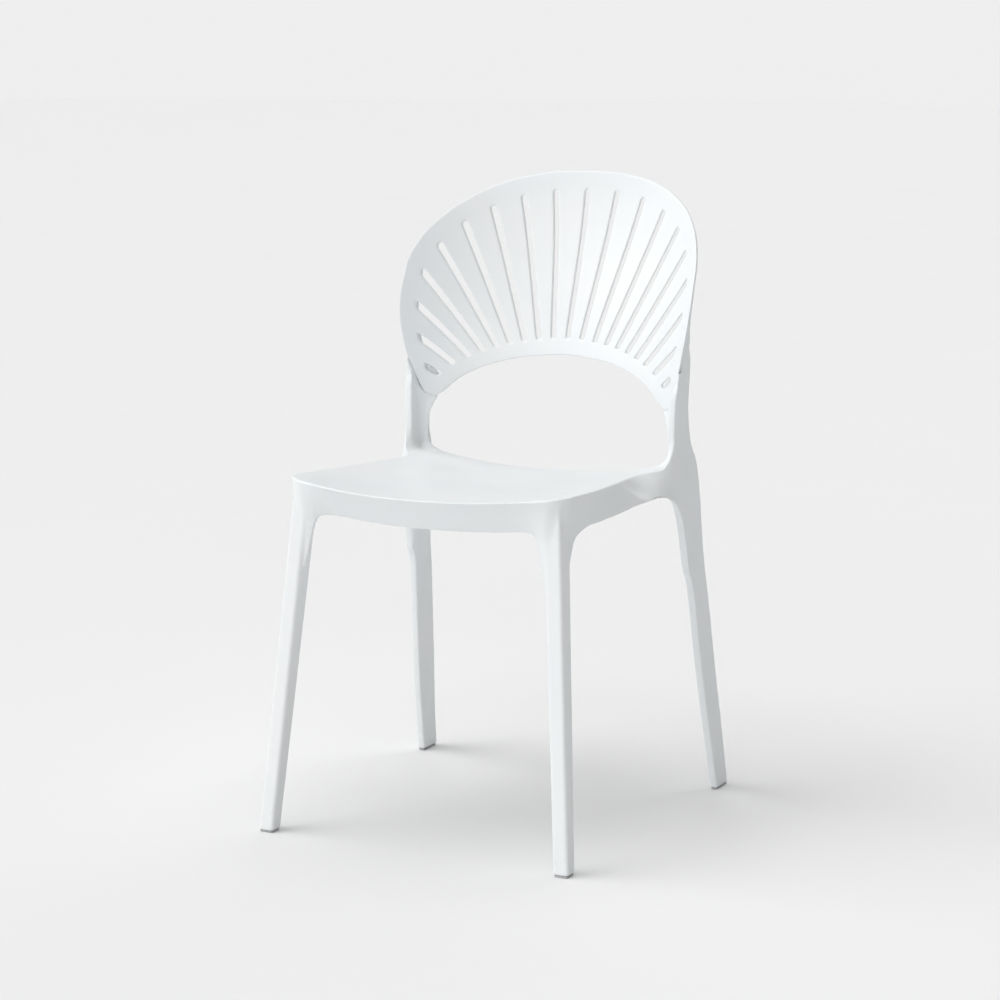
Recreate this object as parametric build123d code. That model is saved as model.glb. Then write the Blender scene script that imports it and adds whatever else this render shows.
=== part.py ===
from build123d import *
import math
import os

# A one-piece seat and leg moulding with a separate slotted fan back.
# Millimetres. +Z is up, the sitter faces -Y, and X = 0 is the mirror plane.
# The pieces are drawn from a datum on the floor between the feet, then moved so that the
# origin is on the floor under the middle of the overall depth.
origin_y = 16.9

# seat
seat_front = -235          # front edge at the mirror plane
seat_rear = 136            # rear edge at the mirror plane
# right side of the seat, from the front corner to the upright: half width and Y
seat_side = [(166, -209), (189, -192), (193, -166), (181, -60), (174, 46), (180, 86), (198, 118)]
seat_corner_end = -180     # points further forward than this belong to the front corner
seat_blade_rear = 152
seat_wall = 5
seat_dish_centre = 429     # height of the top surface in the middle of the seat
seat_front_height = 438    # height of the top surface at the middle of the front edge
seat_rear_fall = 2         # how much lower the surface is at the rear than in the middle
dish_end = 0.6             # share of the seat's depth over which the surface falls to the middle height
side_rise_front = 0.00025  # rise to the sides for each square millimetre of half width
side_rise_rear = 0.00045
apron_bottom = 402
front_lip = 433            # the front apron slopes back from here
apron_setback = 45         # how far back it is at its lower edge

# front legs, right side: outer front corner at the foot and at the seat
front_foot_x = 216
front_foot_y = -239.5
front_top_x = 183
front_top_y = -197.5
front_foot_width = 20.5
front_foot_depth = 21
front_top_width = 22
front_top_depth = 28

# rear legs and uprights: thin blades that stand in the side planes
blade_width = 10.4
blade_corner = 2.4
# height, outer X, front Y, rear Y
blade_stations = [
    (3, 227.2, 198, 236),
    (311, 209.2, 141.3, 187.4),
    (440, 201.4, 117.3, 171),
    (470, 197.6, 113, 166.5),
    (527, 197.4, 113.5, 148),
    (560, 198.4, 127, 152),
    (620, 200, 128, 154),
    (684, 200, 150, 167),
]
leg_top_z = 440            # the leg tops end inside the seat skin
leg_corner = 4

# fan back
fan_level = 640            # height that the curve of the back is written about
fan_centre_z = 425         # every slot points at this height on the mirror plane
fan_thickness = 6
fan_margin = 25            # band of plain shell around the slots
slot_width = 7
slot_angles = [0, 7.2, 14.1, 20.5, 26.4, 32, 37.3, 42.6, 48.3, 54.4]
# angle from vertical and distance from the fan centre
rim_polar = [(0, 387), (10.4, 389), (17.8, 388), (25.6, 381), (29.7, 373), (34.4, 358), (37.5, 343),
             (41, 321), (45.9, 292), (49.4, 270.6), (53.2, 249.6), (57.8, 224.5), (61.3, 211)]
arch_polar = [(0, 145), (14, 147), (24.3, 153), (33.7, 160.5), (42.2, 169), (50.6, 177.4), (56, 181.4),
              (60.6, 184.4)]
tip_polar = (63.0, 197)

# fixings, right side: X and Z of each screw
screw_places = {"upper": (194.6, 606), "lower": (175, 533)}
screw_rear = {"upper": 152, "lower": 156}
screw_shank = 1.5
screw_head = 3.3
screw_head_height = 2.2
screw_cover = 2            # plastic left in front of each screw's tip
tip_gap = 0.5
thread_gap = 0.02
hole_gap = 0.3
boss_radius = 3.6
boss_length = 5
fit_gap = 0.1

# gusset that carries the lower tip of the fan back
gusset_front = 139
gusset_rear = 156
gusset_outline = [(190, 455), (185, 470), (176.5, 482), (171.5, 495), (166.5, 506.5), (160.7, 515.4),
                  (153, 524.5), (166, 546), (180, 562), (192, 575)]

# foot glides
glide_height = 3
glide_inset = 1.2
glide_corner = {"front": 3, "rear": 1.5}
stem_length = 12
stem_radius = {"front": 4, "rear": 2.8}

far = 200                  # longer than any cut needs
grid_step = 20             # spacing of the points that the curved surfaces pass through


def fan_y(x, z):
    """Y of the front surface of the fan back: a lean that eases off to the top, and a hollow across."""
    h = (z - fan_level) / 100
    b = (x / 100)**2
    lean = 222.4 + 36.25 * h + 1.86 * h**2 - 4.51 * h**3
    hollow = 19.64 * b + 0.655 * b**2 + 1.12 * b * h - 2.855 * b * h**2
    return lean - hollow


def seat_z(x, y):
    """Height of the dished seat surface."""
    t = (y - seat_front) / (seat_rear - seat_front)
    dish = min(t / dish_end, 1)
    middle = seat_front_height + (seat_dish_centre - seat_front_height) * math.sin(dish * math.pi / 2)
    middle -= seat_rear_fall * max(t - dish_end, 0) / (1 - dish_end)
    side_rise = side_rise_front + (side_rise_rear - side_rise_front) * dish
    return middle + side_rise * x**2


def both_sides(solid):
    return solid + mirror(solid, about=Plane.YZ)


def polar_point(angle, distance):
    a = math.radians(angle)
    return (distance * math.sin(a), fan_centre_z + distance * math.cos(a))


def read_polar(table, angle):
    """Distance from the fan centre, read between the two nearest stations."""
    for (a0, d0), (a1, d1) in zip(table, table[1:]):
        if a0 <= angle <= a1:
            return d0 + (d1 - d0) * (angle - a0) / (a1 - a0)
    return table[-1][1]


def mirrored(points):
    """Right half points, top or middle first, as one run from left to right."""
    return [(-x, z) for x, z in reversed(points[1:])] + points


def steps(start, end):
    return range(start, end + 1, grid_step)


def fan_surface():
    grid = [[Vector(x, fan_y(x, z), z) for z in steps(470, 830)] for x in steps(-230, 230)]
    return Face.make_surface_from_array_of_points(grid)


def seat_surface():
    grid = [[Vector(x, y, seat_z(x, y)) for y in steps(-270, 190)] for x in steps(-230, 230)]
    return Face.make_surface_from_array_of_points(grid)


def seat_outline(inset):
    """Plan of the seat, drawn at Z = 0."""
    right = [(x - inset, y + inset if y < seat_corner_end else y) for x, y in seat_side]
    left = [(-x, y) for x, y in reversed(right)]
    rear_right = (right[-1][0], seat_blade_rear - inset)
    rear_left = (left[0][0], seat_blade_rear - inset)
    with BuildLine() as line:
        ThreePointArc(left[-1], (0, seat_front + inset), right[0])
        Spline(*right)
        Line(right[-1], rear_right)
        ThreePointArc(rear_right, (0, seat_rear - inset), rear_left)
        Line(rear_left, left[0])
        Spline(*left)
    return make_face(line.line)


def front_slope(back):
    """Everything in front of the sloping face of the front apron, moved back by the given distance."""
    lower = seat_front + apron_setback + back
    side = Polygon((seat_front + back, front_lip), (lower, apron_bottom), (lower, apron_bottom - far),
                   (seat_front - far, apron_bottom - far), (seat_front - far, front_lip), align=None)
    return extrude(Plane.YZ * side, amount=far, both=True)


def seat_pan():
    """Dished seat with an apron all round, open underneath."""
    below_top = extrude(seat_surface(), amount=far, dir=(0, 0, -1))
    below_skin = below_top.moved(Location((0, 0, -seat_wall)))
    block = extrude(seat_outline(0), amount=far).moved(Location((0, 0, apron_bottom)))
    hollow = extrude(seat_outline(seat_wall), amount=far).moved(Location((0, 0, apron_bottom - grid_step)))
    return (block & below_top) - front_slope(0) - ((hollow & below_skin) - front_slope(seat_wall))


def leg_section(outer_x, front_y, width, depth, z, corner):
    centre = Location((outer_x - width / 2, front_y + depth / 2, z))
    return centre * RectangleRounded(width, depth, corner)


def front_leg():
    foot = leg_section(front_foot_x, front_foot_y, front_foot_width, front_foot_depth, glide_height, leg_corner)
    top = leg_section(front_top_x, front_top_y, front_top_width, front_top_depth, leg_top_z, leg_corner)
    return loft([foot, top])


def rear_blade():
    """Rear leg, upright and the arm behind the fan back, from the foot upwards."""
    blade = None
    for low, high in zip(blade_stations, blade_stations[1:]):
        ends = [leg_section(x, front, blade_width, rear - front, z, min(blade_corner, (rear - front) / 2.2))
                for z, x, front, rear in (low, high)]
        piece = loft(ends)
        blade = piece if blade is None else blade + piece
    return blade


def gusset():
    """Bracket inboard of the blade, behind and below the tip of the fan back."""
    shape = Polygon(*gusset_outline, align=None)
    sketch = Plane.XZ * shape
    return extrude(sketch, amount=gusset_rear - gusset_front, dir=(0, 1, 0)).moved(
        Location((0, gusset_front, 0)))


def fan_outline():
    """Edge of the fan back in front view."""
    rim = mirrored([polar_point(a, d) for a, d in rim_polar])
    arch = mirrored([polar_point(a, d) for a, d in arch_polar])
    tip_x, tip_z = polar_point(*tip_polar)
    with BuildLine(Plane.XZ) as line:
        Spline(*rim)
        Spline(*arch)
        ThreePointArc(rim[-1], (tip_x, tip_z), arch[-1])
        ThreePointArc(rim[0], (-tip_x, tip_z), arch[0])
    return make_face(line.line)


def fan_slot(angle):
    """Cutter for one slot: a straight run between the two margins, with round ends."""
    inner = read_polar(arch_polar, abs(angle)) + fan_margin
    outer = read_polar(rim_polar, abs(angle)) - fan_margin
    slot = SlotCenterToCenter(outer - inner, slot_width)
    placed = Location((0, fan_centre_z, 0), (0, 0, 90 - angle)) * Pos((inner + outer) / 2, 0, 0) * slot
    return extrude(Plane.XZ * placed, amount=2 * far, dir=(0, 1, 0))


def fan_slab():
    """The whole curved sheet that the fan back is cut from."""
    return extrude(fan_surface(), amount=fan_thickness, dir=(0, 1, 0))


def screw_spots():
    """Name, X, Z, seat Y of every back screw."""
    for level, (x, z) in screw_places.items():
        for side, sign in (("left", -1), ("right", 1)):
            yield f"back_screw_{level}_{side}", sign * x, z, screw_rear[level] - screw_head_height


def rod(x, z, radius, start, end):
    """A round bar along Y."""
    plane = Plane(origin=(x, start, z), x_dir=(1, 0, 0), z_dir=(0, 1, 0))
    return extrude(plane * Circle(radius), amount=end - start)


def fan_back():
    shell = fan_slab() & extrude(fan_outline(), amount=2 * far, dir=(0, 1, 0))
    for angle in slot_angles:
        shell -= fan_slot(angle)
        if angle:
            shell -= fan_slot(-angle)
    for _, x, z, _ in screw_spots():
        back = fan_y(x, z) + fan_thickness
        shell += rod(x, z, boss_radius, back - fan_thickness / 2, back + boss_length)
    for _, x, z, _ in screw_spots():
        front = fan_y(x, z)
        shell -= rod(x, z, screw_shank + thread_gap, front + screw_cover, front + far)
    return shell


def seat_frame():
    half = front_leg() + rear_blade() + gusset()
    frame = seat_pan() + both_sides(half)
    frame -= fan_clearance()
    for _, x, z, seat_y in screw_spots():
        boss_end = fan_y(x, z) + fan_thickness + boss_length
        frame -= rod(x, z, boss_radius + fit_gap, boss_end - far, boss_end + fit_gap)
        frame -= rod(x, z, screw_shank + hole_gap, boss_end, seat_y)
        frame -= rod(x, z, screw_head + fit_gap, seat_y, seat_y + far)
    for _, x, y, kind in feet():
        hole = Cylinder(stem_radius[kind] + fit_gap, stem_length + tip_gap,
                        align=(Align.CENTER, Align.CENTER, Align.MIN))
        frame -= hole.moved(Location((x, y, glide_height)))
    return frame


def fan_clearance():
    """Everything the fan back fills, and the space in front of it above the tips."""
    sheet = extrude(fan_surface(), amount=far, dir=(0, -1, 0)).moved(Location((0, fan_thickness, 0)))
    return sheet & extrude(fan_outline(), amount=2 * far, dir=(0, 1, 0))


def feet():
    """Name, X, Y and kind of every foot."""
    front_x = front_foot_x - front_foot_width / 2
    front_y = front_foot_y + front_foot_depth / 2
    _, outer, near, rear = blade_stations[0]
    for side, sign in (("left", -1), ("right", 1)):
        yield f"glide_front_{side}", sign * front_x, front_y, "front"
        yield f"glide_rear_{side}", sign * (outer - blade_width / 2), (near + rear) / 2, "rear"


def glide(x, y, kind):
    """Foot pad with a stem that plugs into the leg."""
    width = front_foot_width if kind == "front" else blade_width
    depth = front_foot_depth if kind == "front" else blade_stations[0][3] - blade_stations[0][2]
    sketch = RectangleRounded(width - 2 * glide_inset, depth - 2 * glide_inset, glide_corner[kind])
    pad = extrude(sketch, amount=glide_height)
    stem = Cylinder(stem_radius[kind], stem_length, align=(Align.CENTER, Align.CENTER, Align.MIN))
    return (pad + stem.moved(Location((0, 0, glide_height)))).moved(Location((x, y, 0)))


def back_screw(x, z, seat_y):
    shank = rod(x, z, screw_shank, fan_y(x, z) + screw_cover + tip_gap, seat_y)
    head = rod(x, z, screw_head, seat_y, seat_y + screw_head_height)
    return shank + head


def write(name, shape):
    solids = shape.solids()
    body = solids[0] if len(solids) == 1 else Compound(children=list(solids))
    export_step(body.moved(Location((0, -origin_y, 0))), f"parts/{name}.step")
    print(name, len(solids), "solids, volume", round(sum(s.volume for s in solids) / 1000, 1), "cm3")


os.makedirs("parts", exist_ok=True)
write("seat_frame", seat_frame())
write("fan_back", fan_back())
for name, x, y, kind in feet():
    write(name, glide(x, y, kind))
for name, x, z, seat_y in screw_spots():
    write(name, back_screw(x, z, seat_y))
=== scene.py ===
import math
import bpy
import numpy as np
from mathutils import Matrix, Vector


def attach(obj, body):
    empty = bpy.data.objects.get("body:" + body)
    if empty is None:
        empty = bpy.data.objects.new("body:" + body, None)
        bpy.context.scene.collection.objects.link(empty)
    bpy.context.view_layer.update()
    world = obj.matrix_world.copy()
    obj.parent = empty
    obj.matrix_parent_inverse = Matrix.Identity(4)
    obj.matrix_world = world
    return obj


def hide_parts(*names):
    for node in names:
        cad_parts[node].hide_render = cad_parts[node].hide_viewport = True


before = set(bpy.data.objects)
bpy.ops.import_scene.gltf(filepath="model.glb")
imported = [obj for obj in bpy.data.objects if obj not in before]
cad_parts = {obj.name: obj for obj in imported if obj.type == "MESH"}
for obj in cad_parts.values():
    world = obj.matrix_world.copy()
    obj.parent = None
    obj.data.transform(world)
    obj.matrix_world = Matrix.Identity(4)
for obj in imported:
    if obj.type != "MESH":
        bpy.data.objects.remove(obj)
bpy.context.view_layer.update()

# A white plastic stacking chair: one moulding for the seat, legs and uprights, and a fan back screwed to it.
# The shapes are drawn in millimetres, with +Z up and the sitter facing -Y.
drawingToRow = -16.9  # mm along Y, from the drawings' zero line to the frame's own
mm = 0.001


# Small shape tools, all working on whole arrays of points.

def readLine(stations, at):
    # a smooth line through a few stations, flat beyond both ends
    places, values = np.array(stations, float).T
    slopes = np.gradient(values, places)
    i = np.clip(np.searchsorted(places, at) - 1, 0, len(places) - 2)
    gap = places[i + 1] - places[i]
    t = np.clip((at - places[i]) / gap, 0, 1)
    return ((1 + 2 * t) * (1 - t)**2 * values[i] + t * (1 - t)**2 * gap * slopes[i]
            + t**2 * (3 - 2 * t) * values[i + 1] + t**2 * (t - 1) * gap * slopes[i + 1])


def ease(value, start, end):
    t = np.clip((value - start) / (end - start), 0, 1)
    return t * t * (3 - 2 * t)


def mix(a, b, share):
    return a + (b - a) * share


def fillet(a, b, radius):
    # joins two shapes with a round fillet in the inner corner
    nearA, nearB = np.maximum(radius - a, 0), np.maximum(radius - b, 0)
    return np.maximum(radius, np.minimum(a, b)) - np.hypot(nearA, nearB)


def roundOff(a, b, radius):
    # keeps what both shapes share, with a round outer edge
    return -fillet(-a, -b, radius)


# The curve of the fan back is needed first, because the uprights are cut to it.

fanBack = {
    "level": 640, "centre": 425, "thickness": 6, "archMargin": 25, "rimMargin": 28.3, "slotWidth": 7,
    # front face: how it leans back with height, and how it comes forward away from the middle, per unit
    "unit": 100, "lean": (222.4, 36.25, 1.86, -4.51), "hollow": (19.64, 0.655, 1.12, -2.855),
    # degrees from upright
    "slotAngles": (0, 7.2, 14.1, 20.5, 26.4, 32, 37.3, 42.6, 48.3, 54.4), "tipAngle": 63.9,
    # outlines: degrees from upright, and mm from the point that every slot aims at
    "rim": ((0, 386.7), (10.4, 388.8), (17.8, 388), (25.6, 381), (29.7, 373), (34.4, 358), (37.5, 343),
            (41, 321), (45.9, 292), (49.4, 270.6), (53.2, 249.6), (57.8, 224.5), (61, 212), (62.3, 205.5),
            (62.9, 201)),
    "arch": ((0, 145), (14, 147), (24.3, 153), (33.7, 160.5), (42.2, 169), (50.6, 177.4), (56, 181.4),
             (60.6, 184.8), (62.3, 188.3), (62.9, 191.5)),
}


def fanFront(x, z):
    # Y of the front of the fan back
    h = (z - fanBack["level"]) / fanBack["unit"]
    b = (x / fanBack["unit"])**2
    lean, hollow = fanBack["lean"], fanBack["hollow"]
    return (lean[0] + lean[1] * h + lean[2] * h**2 + lean[3] * h**3
            - hollow[0] * b - hollow[1] * b**2 - hollow[2] * b * h - hollow[3] * b * h**2)


# Seat, legs and uprights, one moulding. Only the +X half is described. A shape function gives a measure in mm
# that is negative inside the shape and positive outside.

moulding = {
    # top of the seat: dished from its front edge on, falling a little behind that, and raised at its sides
    "seatStart": -235, "seatDepth": 371, "frontHeight": 439, "dishEnd": 0.6, "dishDepth": 10, "rearFall": 5,
    "curl": 0.00027, "dishCurl": 0.00018, "cornerRise": 2.5, "cornerReach": 190,
    # half width of the crest and of the lower edge of the side apron, by Y
    "crest": ((-209, 194.5), (-165, 193.5), (-120, 190.6), (-79, 186), (-36, 181), (8, 176), (52, 171.5),
              (80, 170.5)),
    "sideFoot": ((-175, 185.5), (-60, 192), (50, 198.5), (125, 203)),
    # front apron: Y of its crest, Y of its lower edge by X, and the hollow just below the crest
    "crestFront": -236, "crestSweep": 27, "crestReach": 166, "apronHeight": 42, "apronHollow": 0.6,
    "frontFoot": ((0, -199), (60, -194), (100, -189), (130, -189), (150, -196), (165, -201.5), (190, -201.5)),
    # height of the apron's lower edge: at the front by X, at the side by Y, and at the rear
    "frontHem": ((0, 397.5), (60, 398), (95, 399.5), (125, 402), (140, 402.6), (148, 401), (155, 396),
                 (160, 388), (163, 379), (166, 366), (167.8, 350)),
    "sideHem": ((-180, 334), (-177.5, 349), (-174, 361), (-168.5, 376), (-163, 388), (-157, 395),
                (-145, 400.6), (-130, 404), (-92, 405.5), (-38, 408), (16, 411.5), (58, 411.5), (82, 408.5),
                (95, 404.5), (108, 399), (115, 394), (120, 387), (124, 377), (128, 365), (131.5, 350),
                (135, 332), (137.5, 318)),
    "rearHem": 414, "hemFloor": 396,
    # Y over which the rear lip takes over from the front, and X over which the side hem takes over from both
    "hemTurn": (-60, 60), "hemSideFront": (150, 172), "hemSideRear": (186, 202),
    "rearEdge": 130, "rearCurl": 0.00067,
    # how far the seat's own side edge moves out of the way behind the front corners, and over which Y
    "sideRelease": 40, "releaseSpan": (-150, -50),
    "cornerRadius": 25, "rearRadius": 8, "crestRadius": 3.4, "hemRadius": 1.6,
    "wall": 5.5, "sideWall": 7, "skin": 5, "wallRadius": 1.5,
    # uprights and rear legs, by height
    "outer": ((0, 227.2), (46, 224.9), (166, 217.4), (282, 210.8), (318, 208.7), (440, 201.6), (467, 197.8),
              (520, 197.4), (560, 198.6), (620, 200.4), (700, 200.6)),
    "front": ((0, 199), (46, 189), (166, 165.2), (282, 147.5), (318, 140.5), (440, 117.2), (467, 113),
              (520, 113), (531, 114), (555, 124), (620, 128), (700, 150)),
    "rear": ((0, 236), (37, 230), (97, 221), (157, 212), (216, 203.5), (275, 194.5), (311, 187.4), (392, 177),
             (446, 171), (461, 166.5), (482, 163.3), (500, 156.5), (519, 149.5), (527, 147.6), (535, 149.5),
             (552, 152.5), (604, 151.5), (630, 153.6), (655, 160.5), (680, 168)),
    "bladeWidth": 10.4, "topWidth": 3.5, "thinning": (560, 645), "bladeRadius": 2.4, "bladeTop": 686,
    "bladeEnd": 6,
    # where the seat's side surface runs over into the uprights', and the slight waist between them
    "sideTurn": (66, 114), "tuck": 4, "tuckEnd": (114, 160), "tuckRise": (370, 440), "tuckFall": (445, 480),
    "innerFillet": 19, "outerFillet": 38, "filletTurn": (178, 197),
    # front legs, at the floor and at legHeight: outer face, front face, width, depth
    "legFoot": (216, -239.5, 20.5, 21), "legTop": (183, -197.5, 22, 28), "legHeight": 440, "legRadius": 4,
    "legBelow": 3, "legFillet": 3, "soleHeight": 3, "soleRadius": 1.2,
    # bracket under the tip of the fan back: inner edge by height, Y of its faces, and its sloping top
    "bracketEdge": ((430, 178), (455, 176), (470, 175), (482, 174), (495, 171.3), (506.5, 166.5),
                    (515.4, 160.7), (524.5, 153), (540, 140)),
    "bracket": (139.5, 156), "bracketLeast": 4, "bracketFlush": (488, 516), "bracketBevel": 0.9,
    "bracketFoot": 440, "bracketTop": (153, 524.5), "bracketSlope": 1.3, "bracketRadius": 9,
    "slabRadius": 2, "bracketTopRadius": 4,
    # counterbores for the back screws: X, Z and Y of the floor of each
    "counterbores": ((194.6, 606, 149.4), (175, 533, 153.4)), "boreRadius": 4.1,
    "bossRadius": 6.8, "bossMiddle": 10, "bossHalf": 12.2, "bossFillet": 2.5,
    # room for the fan back: its end in degrees from upright, and the gap round it
    "panelEnd": 62.6, "perDegree": 3.4, "panelRadius": 2, "fanGap": 0.35,
    # what turns a measure along an axis into one square to a sloping face
    "edgeScale": 0.7, "bracketTopScale": 0.61, "faceScale": 0.98, "outlineScale": 0.8, "behindScale": 0.9,
}


def seatTop(x, y):
    m = moulding
    t = (y - m["seatStart"]) / m["seatDepth"]
    dish = np.clip(t / m["dishEnd"], 0, 1)
    middle = (m["frontHeight"] - m["dishDepth"] * np.sin(dish * math.pi / 2)
              - m["rearFall"] * np.maximum(t - m["dishEnd"], 0))
    sides = (m["curl"] + m["dishCurl"] * dish) * x**2
    return middle + sides + m["cornerRise"] * (1 - dish**2) * (x / m["cornerReach"])**4


def seatHem(x, y):
    # height of the apron's lower edge: deep at the sides, shallow at the front, a short lip at the rear
    m = moulding
    atRear = ease(y, *m["hemTurn"])
    across = mix(readLine(m["frontHem"], x), m["rearHem"], atRear)
    start, end = (mix(f, r, atRear) for f, r in zip(m["hemSideFront"], m["hemSideRear"]))
    return mix(across, readLine(m["sideHem"], y), ease(x, start, end))


def sideFace(y, z, depth):
    # half width of the outer side surface, from the seat's crest down and back to the uprights
    m = moulding
    seat = mix(readLine(m["crest"], y), readLine(m["sideFoot"], y), depth)
    tuck = m["tuck"] * (1 - ease(y, *m["tuckEnd"])) * ease(z, *m["tuckRise"]) * (1 - ease(z, *m["tuckFall"]))
    return mix(seat, readLine(m["outer"], z) - tuck, ease(y, *m["sideTurn"]))


def seatShape(x, y, z, top, hem, depth, face):
    # the seat and its apron, open below; the front apron slopes back under the rim
    m = moulding
    crestY, footY = m["crestFront"] + m["crestSweep"] * (x / m["crestReach"])**2, readLine(m["frontFoot"], x)
    setBack = depth + m["apronHollow"] * depth * (1 - depth)**2
    lean = (footY - crestY) / m["apronHeight"] * (1 + m["apronHollow"] * (1 - depth) * (1 - 3 * depth))
    front = (mix(crestY, footY, setBack) - y) / np.sqrt(1 + lean**2)
    rear = y - (m["rearEdge"] + m["rearCurl"] * x**2)
    side = x - face - m["sideRelease"] * ease(y, *m["releaseSpan"])
    plan = roundOff(roundOff(front, side, m["cornerRadius"]), rear, m["rearRadius"])
    hollow = np.maximum(np.maximum(plan + m["wall"], x - face + m["sideWall"]), z - top + m["skin"])
    seat = roundOff(roundOff(plan, z - top, m["crestRadius"]), hem - z, m["hemRadius"])
    return roundOff(seat, -hollow, m["wallRadius"])


def bladeShape(x, y, z):
    # an upright and the rear leg below it, open on their outer side until the side surface closes them
    m = moulding
    bladeFront, bladeRear = readLine(m["front"], z), readLine(m["rear"], z)
    middle, half = (bladeFront + bladeRear) / 2, (bladeRear - bladeFront) / 2
    width = mix(m["bladeWidth"], m["topWidth"], ease(z, *m["thinning"]))
    blade = roundOff(np.abs(y - middle) - half, readLine(m["outer"], z) - width - x, m["bladeRadius"])
    blade = roundOff(blade, z - m["bladeTop"], m["bladeEnd"])

    # bracket that carries the tip of the fan back, flush with it at the top and bevelled away behind
    near, far = m["bracket"]
    flush = np.minimum(fanFront(x, z), far - m["bracketLeast"])
    near = mix(near, flush, ease(z, *m["bracketFlush"]))
    slab = np.abs(y - (near + far) / 2) - (far - near) / 2
    bevel = m["bracketBevel"] * np.maximum(y - near, 0)
    edge = (readLine(m["bracketEdge"], z) + bevel - x) * m["edgeScale"]
    topX, topZ = m["bracketTop"]
    above = (z - topZ - m["bracketSlope"] * (x - topX)) * m["bracketTopScale"]
    bracket = roundOff(roundOff(edge, slab, m["slabRadius"]), above, m["bracketTopRadius"])
    bracket = np.maximum(bracket, m["bracketFoot"] - z)
    blade = fillet(blade, bracket, m["bracketRadius"])

    # bosses for the back screws
    for boreX, boreZ, boreY in m["counterbores"]:
        ends = np.abs(y - boreY + m["bossMiddle"]) - m["bossHalf"]
        boss = np.maximum(np.hypot(x - boreX, z - boreZ) - m["bossRadius"], ends)
        blade = fillet(blade, boss, m["bossFillet"])
    return blade


def legShape(x, y, z, top):
    # a front leg, ending inside the seat
    m = moulding
    t = z / m["legHeight"]
    (x0, y0, w0, d0), (x1, y1, w1, d1) = m["legFoot"], m["legTop"]
    halfWidth, halfDepth = mix(w0, w1, t) / 2, mix(d0, d1, t) / 2
    legX, legY = mix(x0, x1, t) - halfWidth, mix(y0, y1, t) + halfDepth
    leg = roundOff(np.abs(x - legX) - halfWidth, np.abs(y - legY) - halfDepth, m["legRadius"])
    return np.maximum(leg, z - top + m["legBelow"])


def fanRoom(x, y, z):
    # the space that the fan back takes up, and everything in front of it
    m, f = moulding, fanBack
    fromCentre = np.hypot(x, z - f["centre"])
    angle = np.degrees(np.arctan2(x, z - f["centre"]))
    rim, arch = readLine(f["rim"], angle), readLine(f["arch"], angle)
    outline = np.maximum(fromCentre - rim, arch - fromCentre) * m["outlineScale"]
    panel = roundOff(outline, (angle - m["panelEnd"]) * m["perDegree"], m["panelRadius"])
    behind = y - fanFront(x, z) - f["thickness"]
    return np.maximum(panel - m["fanGap"], behind * m["behindScale"] - m["fanGap"] / 2)


def mouldingShape(x, y, z):
    m = moulding
    x = np.abs(x)
    top, hem = seatTop(x, y), seatHem(x, y)
    depth = np.clip((top - z) / (top - np.maximum(hem, m["hemFloor"])), 0, 1)
    face = sideFace(y, z, depth)
    joinRadius = mix(m["innerFillet"], m["outerFillet"], ease(x, *m["filletTurn"]))
    body = fillet(seatShape(x, y, z, top, hem, depth, face), bladeShape(x, y, z), joinRadius)
    body = roundOff(body, (x - face) * m["faceScale"], m["bladeRadius"])
    body = fillet(body, legShape(x, y, z, top), m["legFillet"])
    body = roundOff(body, m["soleHeight"] - z, m["soleRadius"])
    for boreX, boreZ, boreY in m["counterbores"]:
        bore = np.maximum(np.hypot(x - boreX, z - boreZ) - m["boreRadius"], boreY - y)
        body = np.maximum(body, -bore)
    return np.maximum(body, -fanRoom(x, y, z))


# Turning a shape into a mesh: quads laid on a grid, then drawn onto the surface.

net = {
    # grid spacing where the shape turns tightly, where it is nearly flat, and what widens the fine one
    "fine": 2.0, "coarse": 5, "quickFactor": 1.8, "rearFactor": 1.5, "topFactor": 1.3,
    # where the spacing changes along each axis
    "xStops": (0, 140, 231), "yStops": (-243, -160, 45, 185, 240), "zStops": (0, 9, 360, 470, 690),
    # drawing onto the surface: rounds, longest move in one round, and the least slope, squared
    "rounds": 4, "longestMove": 1, "leastSlope": 0.2, "slopeReach": 0.25,
    # a point has strayed when it ends this far off the surface, or this far from its start
    "strayGap": 0.15, "strayMove": 2.5, "unfoldRounds": 3, "leastAgreement": 0.6,
}


def spaced(stops, steps):
    # grid places along one axis, with one spacing between each two stops
    places = []
    for start, end, step in zip(stops, stops[1:], steps):
        count = max(int(round((end - start) / step)), 1)
        places.extend(np.linspace(start, end, count, endpoint=False))
    return np.array(places + [stops[-1]])


def shapeSlope(shape, points):
    reach = net["slopeReach"]
    slope = np.empty_like(points)
    for axis in range(3):
        step = np.zeros(3)
        step[axis] = reach
        slope[:, axis] = (shape(*(points + step).T) - shape(*(points - step).T)) / (2 * reach)
    return slope


def neighbourMean(points, quads):
    total, hits = np.zeros_like(points), np.zeros(len(points))
    for corner in range(4):
        for other in (1, 3):
            np.add.at(total, quads[:, corner], points[quads[:, (corner + other) % 4]])
            np.add.at(hits, quads[:, corner], 1)
    return total / hits[:, None]


def faceTurn(points, quads):
    corners = points[quads]
    return np.cross(corners[:, 2] - corners[:, 0], corners[:, 3] - corners[:, 1])


def faceNormals(points, quads):
    turn = faceTurn(points, quads)
    total = np.zeros_like(points)
    for corner in range(4):
        np.add.at(total, quads[:, corner], turn)
    return total / np.maximum(np.linalg.norm(total, axis=1), 1e-9)[:, None]


def crossedCells(inside):
    # the grid cells that the surface runs through
    cellShape = [n - 1 for n in inside.shape]
    corners = np.zeros(cellShape, np.int8)
    for i in (0, 1):
        for j in (0, 1):
            for k in (0, 1):
                corners += inside[i:cellShape[0] + i, j:cellShape[1] + j, k:cellShape[2] + k]
    return np.argwhere((corners > 0) & (corners < 8))


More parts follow.
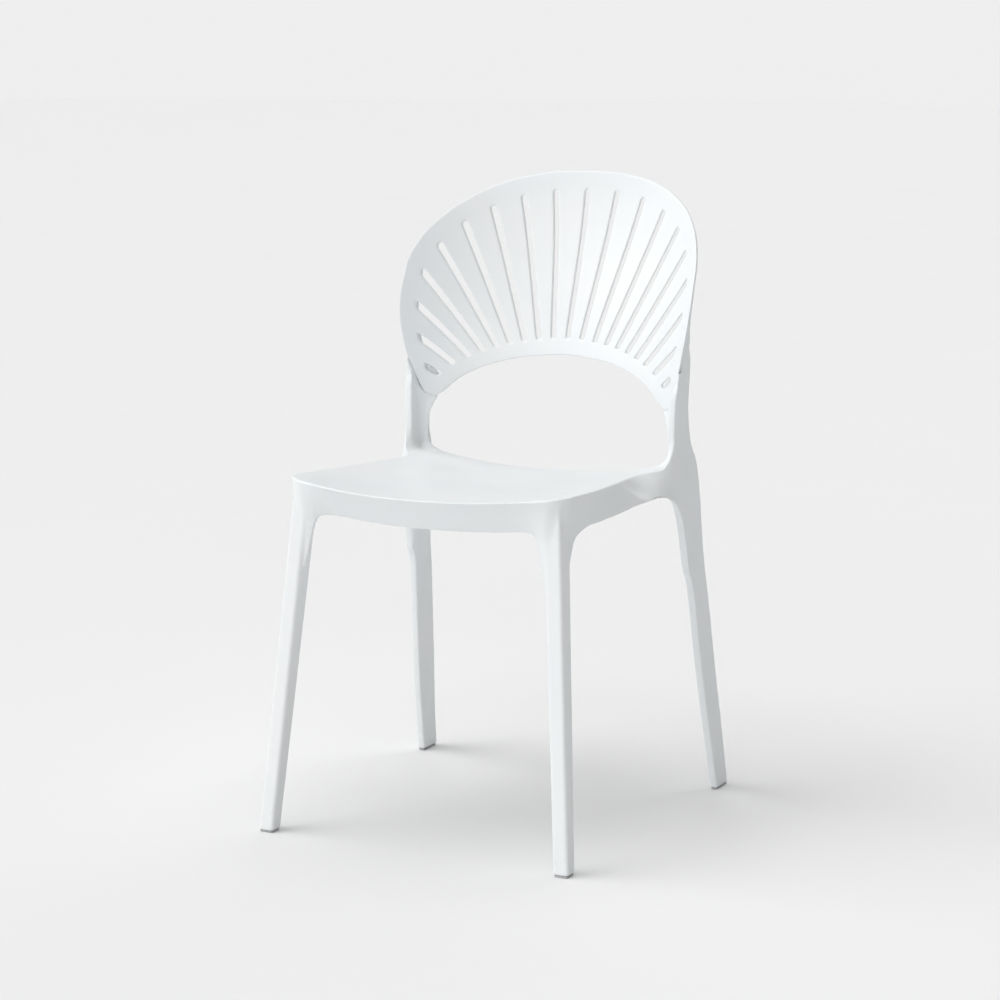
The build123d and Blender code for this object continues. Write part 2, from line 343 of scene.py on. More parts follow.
def cellPoints(value, cells, grid):
    # one point in each cell, in the middle of the places where its edges cross the surface
    total, hits = np.zeros((len(cells), 3)), np.zeros(len(cells))
    for axis in range(3):
        along = np.eye(3, dtype=int)[axis]
        for side in range(4):
            start = cells.copy()
            start[:, (axis + 1) % 3] += side & 1
            start[:, (axis + 2) % 3] += side >> 1
            a, b = value[tuple(start.T)], value[tuple((start + along).T)]
            crossed = (a < 0) != (b < 0)
            a, b, start = a[crossed], b[crossed], start[crossed]
            point = np.stack([grid[n][start[:, n]] for n in range(3)], 1)
            gap = grid[axis][start[:, axis] + 1] - grid[axis][start[:, axis]]
            point[:, axis] += gap * a / (a - b)
            total[crossed] += point
            hits[crossed] += 1
    return total / hits[:, None]


def cellQuads(inside, number):
    # a quad round every grid edge that crosses the surface, facing outwards
    quads = []
    for axis in range(3):
        order = (axis, (axis + 1) % 3, (axis + 2) % 3)
        low, cell = np.transpose(inside, order), np.transpose(number, order)
        i, j, k = np.nonzero(low[:-1, 1:-1, 1:-1] != low[1:, 1:-1, 1:-1])
        ring = np.stack([cell[i, j + 1, k + 1], cell[i, j, k + 1], cell[i, j, k], cell[i, j + 1, k]], 1)
        outward = low[i, j + 1, k + 1]
        quads.append(np.where(outward[:, None], ring, ring[:, ::-1]))
    return np.concatenate(quads)


def netSurface(shape, grid):
    # points, quads and normals of a shape
    value = shape(grid[0][:, None, None], grid[1][None, :, None], grid[2][None, None, :])
    inside = value < 0
    cells = crossedCells(inside)
    number = np.full([n - 1 for n in inside.shape], -1)
    number[tuple(cells.T)] = np.arange(len(cells))
    points, quads = cellPoints(value, cells, grid), cellQuads(inside, number)
    start = points.copy()
    for _ in range(net["rounds"]):
        slope = shapeSlope(shape, points)
        size = np.maximum((slope**2).sum(1), net["leastSlope"])
        move = np.clip(shape(*points.T) / size, -net["longestMove"], net["longestMove"])
        points -= slope * move[:, None]
    # points that found no surface nearby, or that fold a face over, take the middle of their neighbours
    strayed = np.linalg.norm(points - start, axis=1) > net["strayMove"]
    stray = (np.abs(shape(*points.T)) > net["strayGap"]) | strayed
    points[stray] = start[stray]
    for _ in range(net["unfoldRounds"]):
        agree = (faceTurn(points, quads) * shapeSlope(shape, points)[quads].mean(1)).sum(1)
        stray[quads[agree < 0]] = True
        points[stray] = neighbourMean(points, quads)[stray]
    normals = shapeSlope(shape, points)
    normals /= np.maximum(np.linalg.norm(normals, axis=1), 1e-6)[:, None]
    # where the slope jumps, the faces decide which way is out
    byFace = faceNormals(points, quads)
    torn = stray | ((normals * byFace).sum(1) < net["leastAgreement"])
    normals[torn] = byFace[torn]
    return points, quads, normals


def addObject(name, data):
    made = bpy.data.objects.new(name, data)
    bpy.context.scene.collection.objects.link(made)
    return made


def makeObject(name, points, faces, normals=None):
    # points in drawing millimetres; the object sits at the origin with its place in its mesh
    mesh = bpy.data.meshes.new(name)
    placed = (np.asarray(points) + (0, drawingToRow, 0)) * mm
    mesh.from_pydata(placed.tolist(), [], [list(map(int, face)) for face in faces])
    mesh.shade_smooth()
    if normals is not None:
        mesh.normals_split_custom_set_from_vertices(normals.tolist())
    return addObject(name, mesh)


def makeSeatFrame():
    fine, coarse = net["fine"], net["coarse"]
    right = spaced(net["xStops"], (coarse, fine))
    xGrid = np.concatenate([-right[:0:-1], right])
    yGrid = spaced(net["yStops"], (fine, coarse, fine, fine * net["rearFactor"]))
    zGrid = spaced(net["zStops"], (fine, coarse, fine, fine * net["topFactor"]))
    return makeObject("seat_and_legs", *netSurface(mouldingShape, (xGrid, yGrid, zGrid)))


seatFrame = makeSeatFrame()
print("seat moulding made,", len(seatFrame.data.vertices), "points,", len(seatFrame.data.polygons), "faces")


# Help with building node trees.

def newTree(name, inputs):
    # an empty geometry tree with one geometry output and named inputs: (name, kind, value)
    tree = bpy.data.node_groups.new(name, "GeometryNodeTree")
    tree.interface.new_socket("Geometry", in_out="OUTPUT", socket_type="NodeSocketGeometry")
    for label, kind, value in inputs:
        socket = tree.interface.new_socket(label, in_out="INPUT", socket_type="NodeSocket" + kind)
        if value is not None:
            socket.default_value = value
    return tree, tree.nodes.new("NodeGroupInput"), tree.nodes.new("NodeGroupOutput")


def feed(tree, socket, value):
    if isinstance(value, bpy.types.NodeSocket):
        tree.links.new(value, socket)
    else:
        socket.default_value = value


def node(tree, kind, values=(), **settings):
    made = tree.nodes.new(kind)
    for key, value in settings.items():
        setattr(made, key, value)
    for key, value in dict(values).items():
        feed(tree, made.inputs[key], value)
    return made


def calc(tree, operation, *values):
    return node(tree, "ShaderNodeMath", dict(enumerate(values)), operation=operation).outputs[0]


def pick(tree, index, *options):
    # one of several numbers, by whole-number index
    switch = node(tree, "GeometryNodeIndexSwitch", data_type="FLOAT")
    while len(switch.index_switch_items) < len(options):
        switch.index_switch_items.new()
    feed(tree, switch.inputs["Index"], index)
    for number, option in enumerate(options):
        feed(tree, switch.inputs[str(number)], option)
    return switch.outputs[0]


def readCurve(tree, value, stations, acrossMax, upMax):
    # a smooth curve through the stations, read at value
    curve = node(tree, "ShaderNodeFloatCurve", {"Value": calc(tree, "DIVIDE", value, acrossMax)})
    points = curve.mapping.curves[0].points
    while len(points) < len(stations):
        points.new(0, 0)
    for point, (across, up) in zip(points, stations):
        point.location = (across / acrossMax, up / upMax)
    curve.mapping.update()
    return calc(tree, "MULTIPLY", curve.outputs[0], upMax)


def finishTree(tree, result, mesh, material):
    plain = node(tree, "GeometryNodeRealizeInstances", {"Geometry": mesh})
    coated = node(tree, "GeometryNodeSetMaterial", {"Geometry": plain.outputs[0], "Material": material})
    tree.links.new(coated.outputs[0], result.inputs[0])


def runTree(name, tree, settings, startPoints=()):
    # evaluates the tree on a mesh of loose points and keeps the result as a plain mesh
    start = bpy.data.meshes.new(name + "_start")
    start.from_pydata([list(p) for p in startPoints], [], [])
    maker = addObject(name + "_maker", start)
    modifier = maker.modifiers.new(name, "NODES")
    modifier.node_group = tree
    for item in tree.interface.items_tree:
        if item.in_out == "INPUT" and item.name in settings:
            modifier[item.identifier] = settings[item.name]
    shown = maker.evaluated_get(bpy.context.evaluated_depsgraph_get())
    mesh = bpy.data.meshes.new_from_object(shown)
    mesh.name = name
    maker.modifiers.remove(modifier)
    bpy.data.objects.remove(maker)
    return addObject(name, mesh)


# Materials. A noise is its scale per metre, detail and roughness; a relief is its height in metres and
# its strength; a spread runs from two readings to two results.

def shaderStart(name):
    material = bpy.data.materials.new(name)
    material.use_nodes = True
    tree = material.node_tree
    place = tree.nodes.new("ShaderNodeTexCoord").outputs["Object"]
    return material, tree, tree.nodes["Principled BSDF"], place


def noise(tree, place, scale, detail=2.0, roughness=0.5):
    settings = {"Vector": place, "Scale": scale, "Detail": detail, "Roughness": roughness}
    return node(tree, "ShaderNodeTexNoise", settings).outputs["Fac"]


def ramp(tree, value, *stops):
    # colour ramp from (place, colour) stops
    made = node(tree, "ShaderNodeValToRGB", {"Fac": value})
    stopsMade = made.color_ramp.elements
    while len(stopsMade) < len(stops):
        stopsMade.new(0.5)
    for stop, (place, colour) in zip(stopsMade, stops):
        stop.position = place
        stop.color = (*colour, 1)
    return made.outputs["Color"]


def spread(tree, value, low, high, lowOut, highOut):
    return node(tree, "ShaderNodeMapRange", {"Value": value, "From Min": low, "From Max": high,
                                             "To Min": lowOut, "To Max": highOut}).outputs[0]


def stretch(tree, place, scale):
    return node(tree, "ShaderNodeMapping", {"Vector": place, "Scale": scale}).outputs[0]


def blendColour(tree, share, first, second):
    made = node(tree, "ShaderNodeMix", data_type="RGBA", blend_type="MIX")
    feed(tree, made.inputs["Factor"], share)
    feed(tree, made.inputs["A"], first)
    feed(tree, made.inputs["B"], (*second, 1))
    return made.outputs["Result"]


def bump(tree, height, distance, strength, below=None):
    made = node(tree, "ShaderNodeBump", {"Height": height, "Distance": distance, "Strength": strength})
    if below is not None:
        feed(tree, made.inputs["Normal"], below)
    return made.outputs[0]


def finishShader(tree, shader, colour, rough, normal):
    feed(tree, shader.inputs["Base Color"], colour)
    feed(tree, shader.inputs["Roughness"], rough)
    feed(tree, shader.inputs["Normal"], normal)


whitePlastic = {
    "clouds": ((0.35, (0.815, 0.845, 0.86)), (0.65, (0.835, 0.85, 0.855))), "cloudNoise": (7, 4),
    "flowNoise": (22, 3, 0.6), "flowStretch": (1, 1, 0.35), "grainNoise": (2600, 2, 0.7),
    # paler where edges are rubbed
    "worn": (0.875, 0.88, 0.88), "edgeWear": (0.52, 0.6, 0, 0.55), "patchWear": (0.4, 0.62, 0.25, 1),
    # specks of dust, thinning out with height
    "dust": (0.6, 0.6, 0.59), "speckNoise": (160, 3, 0.65), "specks": (0.5, 0.72, 0, 1),
    "dustHeight": (0, 0.07, 0.22, 0),
    "flowRough": (0.3, 0.7, 0.36, 0.47), "grainRough": (0.3, 0.7, -0.03, 0.03), "wornRough": 0.1,
    "grain": (0.000035, 0.6), "wave": (0.00035, 0.25), "index": 1.49,
    # witness line: height and half its width, how far out it starts, middle and half length along Y
    "seam": (0.4385, 0.0004), "seamBeyond": 0.1985, "seamAlong": (0.123, 0.027), "seamShare": 0.35,
    "seamRidge": (0.0003, 0.6),
}


def satinPlastic(name, seamLine=False):
    # moulded polypropylene: fine spark-eroded grain, soft clouding, paler rubbed edges, dust near the floor
    w = whitePlastic
    material, tree, shader, place = shaderStart(name)
    clouds = noise(tree, place, *w["cloudNoise"])
    flow = noise(tree, stretch(tree, place, w["flowStretch"]), *w["flowNoise"])
    grain = noise(tree, place, *w["grainNoise"])
    colour = ramp(tree, clouds, *w["clouds"])
    edge = node(tree, "ShaderNodeNewGeometry").outputs["Pointiness"]
    scuffs = calc(tree, "MULTIPLY", spread(tree, edge, *w["edgeWear"]), spread(tree, flow, *w["patchWear"]))
    colour = blendColour(tree, scuffs, colour, w["worn"])
    at = node(tree, "ShaderNodeSeparateXYZ", {"Vector": place}).outputs
    specks = spread(tree, noise(tree, place, *w["speckNoise"]), *w["specks"])
    dust = calc(tree, "MULTIPLY", spread(tree, at[2], *w["dustHeight"]), specks)
    colour = blendColour(tree, dust, colour, w["dust"])
    rough = calc(tree, "ADD", spread(tree, flow, *w["flowRough"]), spread(tree, grain, *w["grainRough"]))
    rough = calc(tree, "ADD", rough, calc(tree, "MULTIPLY", scuffs, w["wornRough"]))
    normal = bump(tree, flow, *w["wave"], bump(tree, grain, *w["grain"]))
    if seamLine:
        # witness line of the mould on the outer side of each upright, level with the seat
        line = calc(tree, "COMPARE", at[2], *w["seam"])
        side = calc(tree, "GREATER_THAN", calc(tree, "ABSOLUTE", at[0]), w["seamBeyond"])
        back = calc(tree, "COMPARE", at[1], *w["seamAlong"])
        line = calc(tree, "MULTIPLY", calc(tree, "MULTIPLY", line, side), back)
        colour = blendColour(tree, calc(tree, "MULTIPLY", line, w["seamShare"]), colour, w["worn"])
        normal = bump(tree, line, *w["seamRidge"], normal)
    finishShader(tree, shader, colour, rough, normal)
    shader.inputs["IOR"].default_value = w["index"]
    return material


padNylon = {
    "mottle": ((0.3, (0.36, 0.365, 0.37)), (0.7, (0.45, 0.455, 0.46))), "mottleNoise": (90, 4),
    "scratchNoise": (420, 3, 0.7), "scratchStretch": (1, 6, 1), "scratched": (0.6, 0.6, 0.6),
    "scratches": (0.55, 0.7, 0, 0.4), "rough": (0.3, 0.7, 0.45, 0.65), "relief": (0.00008, 0.7),
}


def padPlastic():
    # grey nylon of the glides, scratched where it rubs on the floor
    n = padNylon
    material, tree, shader, place = shaderStart("glide_nylon")
    mottle = noise(tree, place, *n["mottleNoise"])
    scratches = noise(tree, stretch(tree, place, n["scratchStretch"]), *n["scratchNoise"])
    colour = ramp(tree, mottle, *n["mottle"])
    colour = blendColour(tree, spread(tree, scratches, *n["scratches"]), colour, n["scratched"])
    rough = spread(tree, scratches, *n["rough"])
    finishShader(tree, shader, colour, rough, bump(tree, scratches, *n["relief"]))
    return material


zincPlate = {
    "tarnish": ((0.3, (0.55, 0.56, 0.58)), (0.7, (0.68, 0.69, 0.7))), "tarnishNoise": (240, 3),
    "turnedNoise": (1500, 2, 0.6), "rough": (0.3, 0.7, 0.22, 0.4), "relief": (0.00003, 0.5),
}


def screwMetal():
    # zinc plate with faint turning marks
    z = zincPlate
    material, tree, shader, place = shaderStart("zinc_screw")
    turned = noise(tree, place, *z["turnedNoise"])
    colour = ramp(tree, noise(tree, place, *z["tarnishNoise"]), *z["tarnish"])
    rough = spread(tree, turned, *z["rough"])
    finishShader(tree, shader, colour, rough, bump(tree, turned, *z["relief"]))
    shader.inputs["Metallic"].default_value = 1.0
    return material


framePlastic = satinPlastic("frame_white", seamLine=True)
shellPlastic = satinPlastic("shell_white")
glideNylon = padPlastic()
zinc = screwMetal()
seatFrame.data.materials.append(framePlastic)
print("materials made")


# Fan back: a grid of ribs and slots, laid out round one point and bent to its curve.

fanGrid = {
    "rows": 16, "columnsPerSlot": 5, "closedRows": 3.5, "smoothing": 2,
    # bands of faces along the outline, the slots' sides and ends, and their share where there is little room
    "edgeBand": 2.0, "slotBand": 2.0, "endBand": 3.5, "capBand": 7, "capShare": 0.32, "shortShare": 0.35,
    # the float curves run from 0 to these
    "angleMost": 70, "radiusMost": 400,
    # whole numbers count as equal within this, and points closer than this many mm are one
    "near": 0.1, "mergeGap": 0.02,
}


def fanTree():
    f, layout = fanBack, fanGrid
    tree, given, result = newTree("fan_back", (
        ("Slots Each Side", "Int", len(f["slotAngles"])), ("Slot Width", "Float", f["slotWidth"]),
        ("Arch Margin", "Float", f["archMargin"] - f["slotWidth"] / 2),
        ("Rim Margin", "Float", f["rimMargin"] - f["slotWidth"] / 2),
        ("Edge Band", "Float", layout["edgeBand"]),
        ("Thickness", "Float", f["thickness"]), ("Centre Height", "Float", f["centre"]),
        ("Level", "Float", f["level"]), ("Smoothing", "Int", layout["smoothing"]),
        ("Plastic", "Material", None)))
    g = given.outputs

    def op(kind, *values):
        return calc(tree, kind, *values)

    rows, group = layout["rows"], layout["columnsPerSlot"]
    columns = op("MULTIPLY", g["Slots Each Side"], 2 * group)
    grid = node(tree, "GeometryNodeMeshGrid", {"Size X": op("SUBTRACT", columns, 1), "Size Y": rows - 1,
                                               "Vertices X": columns, "Vertices Y": rows})
    here = tree.nodes.new("GeometryNodeInputPosition").outputs[0]
    place = node(tree, "ShaderNodeSeparateXYZ", {"Vector": here})
    across, up = place.outputs[0], place.outputs[1]

    # faces that fall inside a slot are taken out
    faceColumn = op("ADD", op("ROUND", op("ABSOLUTE", across)), 1)
    inSlot = op("MULTIPLY", op("COMPARE", op("MODULO", faceColumn, group), 1, layout["near"]),
                op("LESS_THAN", op("ABSOLUTE", up), rows / 2 - layout["closedRows"]))
    ribs = node(tree, "GeometryNodeDeleteGeometry", {"Geometry": grid.outputs["Mesh"], "Selection": inSlot},
                domain="FACE")

    # which slot a column belongs to, and how far it stands off that slot's middle line
    column = op("ADD", op("ROUND", op("SUBTRACT", op("ABSOLUTE", across), 0.5)), 2)
    slot = op("FLOOR", op("DIVIDE", op("ADD", column, layout["near"]), group))
    step = op("SUBTRACT", column, op("MULTIPLY", slot, group))
    half = op("MULTIPLY", g["Slot Width"], 0.5)
    stand = op("ADD", half, layout["slotBand"])
    offset = pick(tree, step, op("MULTIPLY", stand, -1), op("MULTIPLY", half, -1), half, stand, 0.0)
    angles = list(enumerate((*f["slotAngles"], f["tipAngle"])))
    angleMost, radiusMost = layout["angleMost"], layout["radiusMost"]
    here = readCurve(tree, slot, angles, len(angles) - 1, angleMost)
    after = readCurve(tree, op("ADD", slot, 1), angles, len(angles) - 1, angleMost)
    between = op("MULTIPLY", op("COMPARE", step, group - 1, layout["near"]), 0.5)
    angle = op("ADD", here, op("MULTIPLY", op("SUBTRACT", after, here), between))

    def edgeRadius(stations):
        first = readCurve(tree, angle, stations, angleMost, radiusMost)
        turn = op("DEGREES", op("DIVIDE", offset, first))
        return readCurve(tree, op("ADD", angle, turn), stations, angleMost, radiusMost)

    arch, rim = edgeRadius(f["arch"]), edgeRadius(f["rim"])
    length = op("SUBTRACT", rim, arch)
    most = op("MULTIPLY", length, layout["shortShare"])
    archMargin, rimMargin = op("MINIMUM", g["Arch Margin"], most), op("MINIMUM", g["Rim Margin"], most)
    slotLength = op("SUBTRACT", op("SUBTRACT", length, archMargin), rimMargin)
    cap = op("MINIMUM", layout["capBand"], op("MULTIPLY", slotLength, layout["capShare"]))

    def bands(margin):
        beforeEnd = op("SUBTRACT", margin, layout["endBand"])
        return [0.0, g["Edge Band"], beforeEnd, margin, op("ADD", margin, cap)]

    low, high = bands(archMargin), [op("SUBTRACT", length, d) for d in reversed(bands(rimMargin))]
    gaps = rows - 2 * len(low) + 1
    run = op("SUBTRACT", high[0], low[-1])
    middle = [op("ADD", low[-1], op("MULTIPLY", run, n / gaps)) for n in range(1, gaps)]
    row = op("ROUND", op("ADD", up, (rows - 1) / 2))
    radius = op("ADD", arch, pick(tree, row, *low, *middle, *high))

    # flat place, then the curve of the back
    turn = op("RADIANS", angle)
    sine, cosine = op("SINE", turn), op("COSINE", turn)
    x = op("ADD", op("MULTIPLY", radius, sine), op("MULTIPLY", offset, cosine))
    x = op("MULTIPLY", x, op("SIGN", across))
    z = op("SUBTRACT", op("MULTIPLY", radius, cosine), op("MULTIPLY", offset, sine))
    z = op("ADD", z, g["Centre Height"])
    h = op("DIVIDE", op("SUBTRACT", z, g["Level"]), f["unit"])
    b = op("POWER", op("DIVIDE", op("ABSOLUTE", x), f["unit"]), 2)
    lean, hollow = f["lean"], f["hollow"]
    y = op("ADD", lean[0], op("MULTIPLY", h, op("ADD", lean[1], op("MULTIPLY", h, op(
        "ADD", lean[2], op("MULTIPLY", h, lean[3]))))))
    slope = op("ADD", hollow[0], op("MULTIPLY", h, op("ADD", hollow[2], op("MULTIPLY", h, hollow[3]))))
    y = op("SUBTRACT", y, op("MULTIPLY", b, op("ADD", slope, op("MULTIPLY", b, hollow[1]))))
    y = op("ADD", op("ADD", y, g["Thickness"]), drawingToRow)
    spot = node(tree, "ShaderNodeCombineXYZ", {"X": x, "Y": y, "Z": z})
    spot = node(tree, "ShaderNodeVectorMath", {0: spot.outputs[0], "Scale": mm}, operation="SCALE")
    rear = node(tree, "GeometryNodeSetPosition", {"Geometry": ribs.outputs[0], "Position": spot.outputs[0]})

    # the sheet starts as the rear face and is pushed out to the front one
    push = node(tree, "ShaderNodeCombineXYZ", {"Y": op("MULTIPLY", g["Thickness"], -mm)})
    thick = node(tree, "GeometryNodeExtrudeMesh", {"Mesh": rear.outputs[0], "Offset": push.outputs[0],
                                                   "Individual": False})
    flipped = node(tree, "GeometryNodeFlipFaces", {"Mesh": rear.outputs[0]})
    both = tree.nodes.new("GeometryNodeJoinGeometry")
    tree.links.new(thick.outputs[0], both.inputs[0])
    tree.links.new(flipped.outputs[0], both.inputs[0])
    closed = node(tree, "GeometryNodeMergeByDistance", {
        "Geometry": both.outputs[0], "Distance": layout["mergeGap"] * mm})
    smooth = node(tree, "GeometryNodeSubdivisionSurface", {
        "Mesh": closed.outputs[0], "Level": g["Smoothing"]})
    shaded = node(tree, "GeometryNodeSetShadeSmooth", {"Geometry": smooth.outputs[0]})
    finishTree(tree, result, shaded.outputs[0], g["Plastic"])
    return tree


fanPiece = runTree("fan_back_shell", fanTree(), {"Plastic": shellPlastic})
print("fan back made,", len(fanPiece.data.polygons), "faces")


# Back screws: one head drawn once and set into the four counterbores.

backScrews = {
    "headRadius": 3.3, "headHeight": 2.2, "domeRise": 0.7,
    "crossLength": 3.6, "crossWidth": 0.9, "crossDepth": 1.3,
    "vertices": 40, "sideSegments": 2, "fillSegments": 5, "seed": 7,
    # X, Y and Z of the rim of each head on the +X side
    "spots": ((194.6, 151.8, 606), (175, 155.8, 533)),
}


def screwTree():
    s = backScrews
    tree, given, result = newTree("back_screws", (
        ("Points", "Geometry", None), ("Head Radius", "Float", s["headRadius"] * mm),
        ("Head Height", "Float", s["headHeight"] * mm), ("Dome Rise", "Float", s["domeRise"] * mm),
        ("Metal", "Material", None)))
    g = given.outputs

    def op(kind, *values):
        return calc(tree, kind, *values)

    def vector(**sizes):
        return node(tree, "ShaderNodeCombineXYZ", sizes).outputs[0]

    def crossBar(alongX, alongY):
        bar = node(tree, "GeometryNodeMeshCube", {"Size": vector(
            X=s[alongX] * mm, Y=s[alongY] * mm, Z=2 * s["crossDepth"] * mm)})
        lift = vector(Z=op("ADD", g["Head Height"], s["domeRise"] * mm))
        placed = node(tree, "GeometryNodeTransform", {"Geometry": bar.outputs[0], "Translation": lift})
        return placed.outputs[0]

    head = node(tree, "GeometryNodeMeshCylinder", {
        "Vertices": s["vertices"], "Side Segments": s["sideSegments"], "Fill Segments": s["fillSegments"],
        "Radius": g["Head Radius"], "Depth": g["Head Height"]})
    here = tree.nodes.new("GeometryNodeInputPosition").outputs[0]
    place = node(tree, "ShaderNodeSeparateXYZ", {"Vector": here}).outputs
    flat = vector(X=place[0], Y=place[1])
    fromAxis = node(tree, "ShaderNodeVectorMath", {0: flat}, operation="LENGTH").outputs["Value"]
    out = op("DIVIDE", fromAxis, g["Head Radius"])
    rise = op("MULTIPLY", g["Dome Rise"], op("SUBTRACT", 1, op("MULTIPLY", out, out)))
    # the cylinder is centred on its own middle, so its top lies just above 0.4 of the height
    onTop = op("GREATER_THAN", place[2], op("MULTIPLY", g["Head Height"], 0.4))
    lift = op("ADD", op("MULTIPLY", g["Head Height"], 0.5), op("MULTIPLY", onTop, rise))
    domed = node(tree, "GeometryNodeSetPosition", {
        "Geometry": head.outputs["Mesh"], "Offset": vector(Z=lift)})
    cut = tree.nodes.new("GeometryNodeMeshBoolean")
    cut.operation = "DIFFERENCE"
    tree.links.new(domed.outputs[0], cut.inputs["Mesh 1"])
    tree.links.new(crossBar("crossWidth", "crossLength"), cut.inputs["Mesh 2"])
    tree.links.new(crossBar("crossLength", "crossWidth"), cut.inputs["Mesh 2"])
    # the heads face backwards, each turned a different way as if driven by hand
    turn = node(tree, "FunctionNodeRandomValue", {"Seed": s["seed"]}, data_type="FLOAT")
    turn.inputs[2].default_value, turn.inputs[3].default_value = 0.0, math.pi
    spots = node(tree, "GeometryNodeInstanceOnPoints", {
        "Points": g["Points"], "Instance": cut.outputs[0], "Rotation": vector(X=-math.pi / 2)})
    turned = node(tree, "GeometryNodeRotateInstances", {
        "Instances": spots.outputs[0], "Rotation": vector(Z=turn.outputs[1])})
    finishTree(tree, result, turned.outputs[0], g["Metal"])
    return tree


screwPoints = [(side * x * mm, (y - backScrews["headHeight"] + drawingToRow) * mm, z * mm)
               for x, y, z in backScrews["spots"] for side in (-1, 1)]
screwPiece = runTree("back_screws", screwTree(), {"Metal": zinc}, screwPoints)
print("back screws made,", len(screwPiece.data.polygons), "faces")


# Glides: moulded pads under the feet.

glides = {
    # for each kind of foot: X of its outer face, middle from there, middle Y, width, depth, corner radius
    "front": (216, 10.25, -229, 20.5, 21, 3), "rear": (227.2, 5.2, 217, 10.4, 38, 1.6),
    # how far a pad stands in from its foot all round, and its tightest corner
    "inset": 1.2, "leastRadius": 0.3,
    # inset and height of each ring from the floor up: rounded sole, side, lip under the leg
    "rings": ((3.2, 0.25), (2.0, 0.0), (0.9, 0.0), (0.35, 0.15), (0.08, 0.45), (0, 0.9), (0, 2.5),
              (0.25, 2.75), (0.6, 2.75), (0.6, 3.0)),
    "cornerSteps": 8,
}


def glidePad(name, side, kind):
    g = glides
    outerX, fromOuter, middleY, width, depth, corner = g[kind]
    middleX = side * (outerX - fromOuter)
    points, faces = [], []
    for inset, height in g["rings"]:
        halfX, halfY = width / 2 - g["inset"] - inset, depth / 2 - g["inset"] - inset
        radius = max(min(corner - inset, halfX, halfY), g["leastRadius"])
        for quarter, (signX, signY) in enumerate(((1, 1), (-1, 1), (-1, -1), (1, -1))):
            for step in range(g["cornerSteps"] + 1):
                turn = math.pi / 2 * (quarter + step / g["cornerSteps"])
                points.append((middleX + signX * (halfX - radius) + radius * math.cos(turn),
                               middleY + signY * (halfY - radius) + radius * math.sin(turn), height))
    around = 4 * (g["cornerSteps"] + 1)
    for ring in range(len(g["rings"]) - 1):
        for step in range(around):
            a, b = ring * around + step, ring * around + (step + 1) % around
            faces.append((a, b, b + around, a + around))
    faces.append(tuple(reversed(range(around))))
    faces.append(tuple(range(len(points) - around, len(points))))
    pad = makeObject(name, points, faces)
    pad.data.materials.append(glideNylon)
    return pad


pads = {f"glide_{kind}_{label}": glidePad(f"pad_{kind}_{label}", side, kind)
        for kind in ("front", "rear") for label, side in (("left", -1), ("right", 1))}
print("glides made,", len(pads))


# Which piece stands for which part of the frame. Nothing moves, so every piece rides on the root.

for name, pad in pads.items():
    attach(pad, "root")
    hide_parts(name)
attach(seatFrame, "root")
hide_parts("seat_frame")
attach(fanPiece, "root")
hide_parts("fan_back")
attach(screwPiece, "root")
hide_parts("back_screw_upper_left", "back_screw_upper_right",
            "back_screw_lower_left", "back_screw_lower_right")


# Floor, light and camera, in metres.

studio = {
    "floorHalf": 60, "floorColour": (0.8, 0.8, 0.8), "floorShade": 0.99, "floorNoise": (1.5, 2),
    "floorRough": 0.9,
    "skyGlow": 0.86, "skyFill": 0.01, "glowTop": (0.04, 0.22),
    # where the light comes from (degrees from the front towards +X, and height), softness, strength
    "suns": (("key", (-60, 45), 50, 1.28), ("top", (0, 85), 60, 1.29), ("front", (0, 12), 60, 0.95),
             ("back", (180, 45), 60, 0.77), ("left", (-80, 25), 70, 0.27), ("fill", (-15, 60), 50, 0.29)),
    "lampDistance": 4,
    "cameraPlace": (1.4875, -2.9289, 0.9517), "cameraTurn": 27, "cameraDrop": 9.51,
    "lens": 93.42, "sensor": 36, "clipEnd": 200,
}


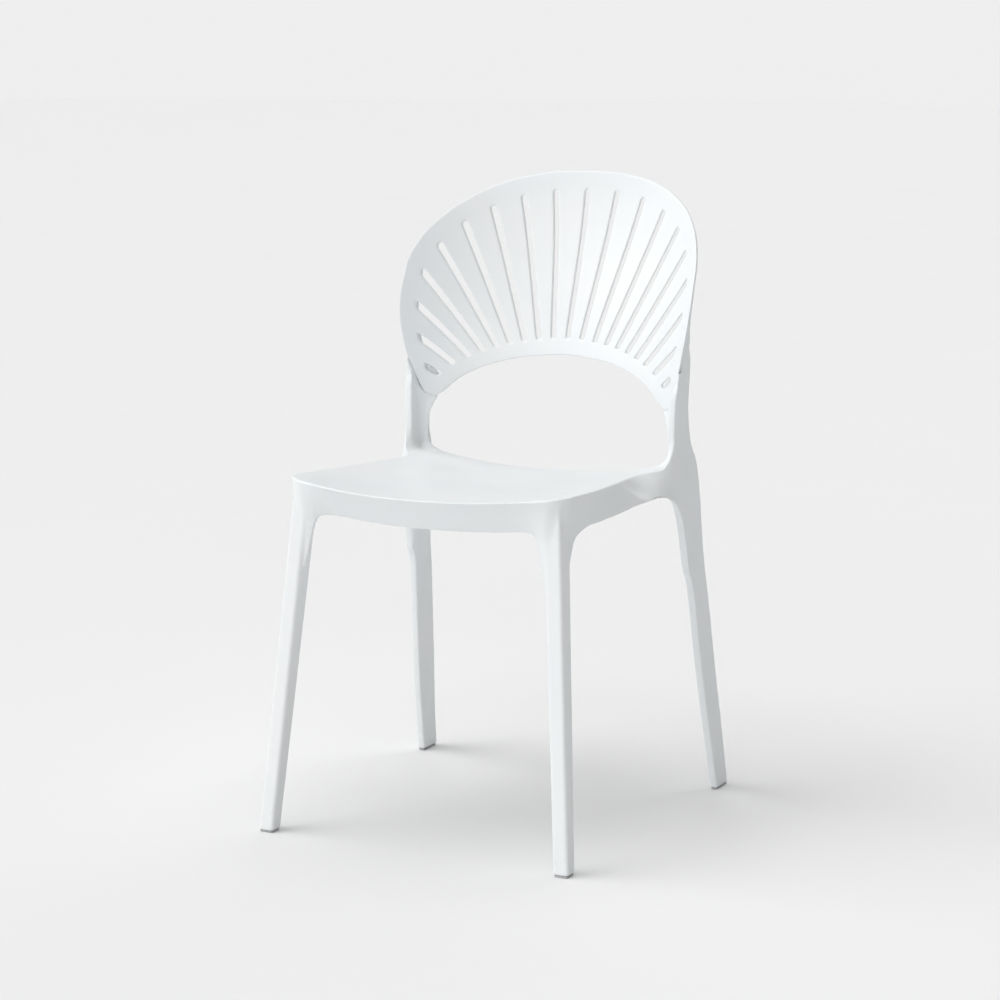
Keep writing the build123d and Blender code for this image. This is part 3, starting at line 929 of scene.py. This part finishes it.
def makeFloor():
    half = studio["floorHalf"]
    mesh = bpy.data.meshes.new("floor")
    corners = [(-half, -half, 0), (half, -half, 0), (half, half, 0), (-half, half, 0)]
    mesh.from_pydata(corners, [], [(0, 1, 2, 3)])
    floor = addObject("floor", mesh)
    material, tree, shader, place = shaderStart("studio_floor")
    tone = studio["floorColour"]
    darker = tuple(studio["floorShade"] * v for v in tone)
    soft = noise(tree, place, *studio["floorNoise"])
    feed(tree, shader.inputs["Base Color"], ramp(tree, soft, (0.3, darker), (0.7, tone)))
    shader.inputs["Roughness"].default_value = studio["floorRough"]
    mesh.materials.append(material)


def makeSky():
    # pale near the horizon, so that the floor runs into it, and dimmer overhead
    world = bpy.data.worlds.new("studio")
    bpy.context.scene.world = world
    world.use_nodes = True
    tree = world.node_tree
    direction = tree.nodes.new("ShaderNodeTexCoord").outputs["Generated"]
    facing = node(tree, "ShaderNodeSeparateXYZ", {"Vector": direction})
    low, high = studio["glowTop"]
    glow, fill = (studio["skyGlow"],) * 3, (studio["skyFill"],) * 3
    sky = ramp(tree, facing.outputs[2], (low, glow), (high, fill))
    feed(tree, tree.nodes["Background"].inputs["Color"], sky)


def makeLights():
    for name, (azimuth, height), softness, strength in studio["suns"]:
        light = bpy.data.lights.new(name, "SUN")
        light.energy = strength
        light.angle = math.radians(softness)
        lamp = addObject(name, light)
        a, e = math.radians(azimuth), math.radians(height)
        toLight = Vector((math.sin(a) * math.cos(e), -math.cos(a) * math.cos(e), math.sin(e)))
        lamp.rotation_euler = (-toLight).to_track_quat("-Z", "Y").to_euler()
        lamp.location = toLight * studio["lampDistance"]


def makeCamera():
    camera = bpy.data.cameras.new("camera")
    camera.lens = studio["lens"]
    camera.sensor_width = studio["sensor"]
    camera.clip_end = studio["clipEnd"]
    stand = addObject("camera", camera)
    stand.location = studio["cameraPlace"]
    stand.rotation_euler = (math.radians(90 - studio["cameraDrop"]), 0, math.radians(studio["cameraTurn"]))
    bpy.context.scene.camera = stand


makeFloor()
makeSky()
makeLights()
makeCamera()
bpy.context.scene.view_settings.view_transform = "Standard"
print("stage, lights and camera made")
